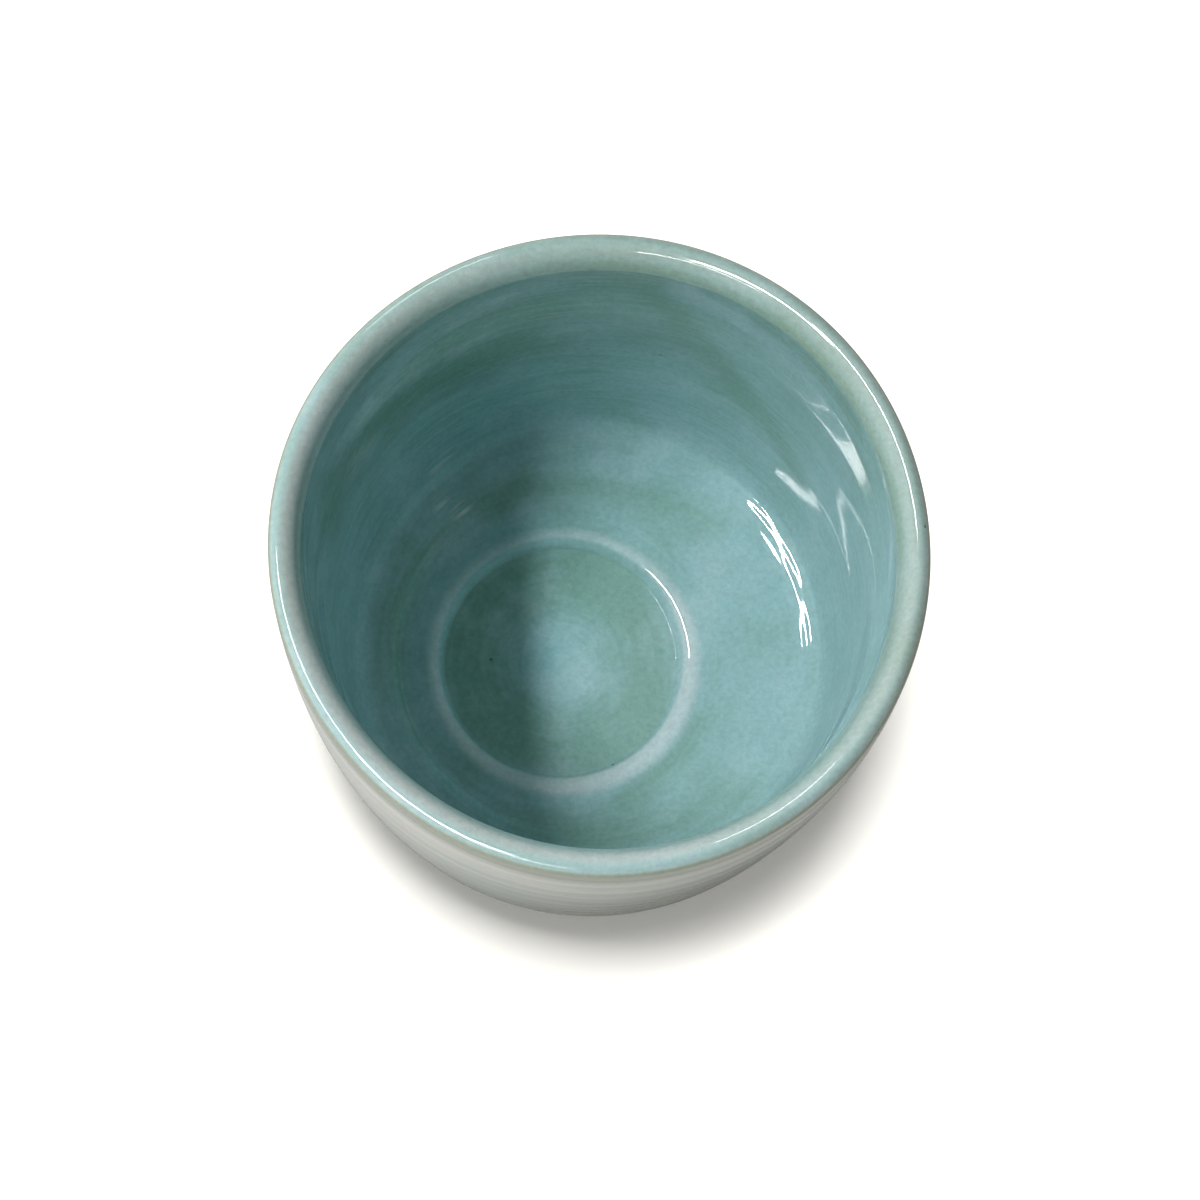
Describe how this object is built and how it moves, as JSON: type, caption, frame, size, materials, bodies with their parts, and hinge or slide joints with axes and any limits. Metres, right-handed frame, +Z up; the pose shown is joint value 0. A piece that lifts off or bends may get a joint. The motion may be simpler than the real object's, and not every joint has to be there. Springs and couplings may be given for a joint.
{
  "type": "ceramic cup",
  "caption": "Round thrown stoneware cup without a handle: rounded lip that slopes inwards, gently tapered wall, full bowl with a shallow well set off the axis, bare foot ring, glazed inside and out.",
  "frame": {"origin": "centre of the foot ring's resting plane, on the axis of the revolve", "axes": "+Z up along the axis of the revolve; +Y away from the viewer of the picture; +X to the viewer's right"},
  "size_m": [0.086, 0.086, 0.072],
  "materials": {
    "stoneware": "bare fired stoneware, matt, seen only on the foot ring",
    "liner_glaze": "glossy blue-green celadon, greener where it pools",
    "rim_glaze": "glossy pale celadon, thin over the lip",
    "outer_glaze": "glossy pale grey-green celadon",
    "foot_glaze": "glossy pale grey-green celadon"
  },
  "bodies": {
    "root": {"clay_body": "stoneware", "inner_glaze": "liner_glaze", "rim_glaze": "rim_glaze", "outer_glaze": "outer_glaze", "foot_glaze": "foot_glaze"}
  },
  "joints": []
}
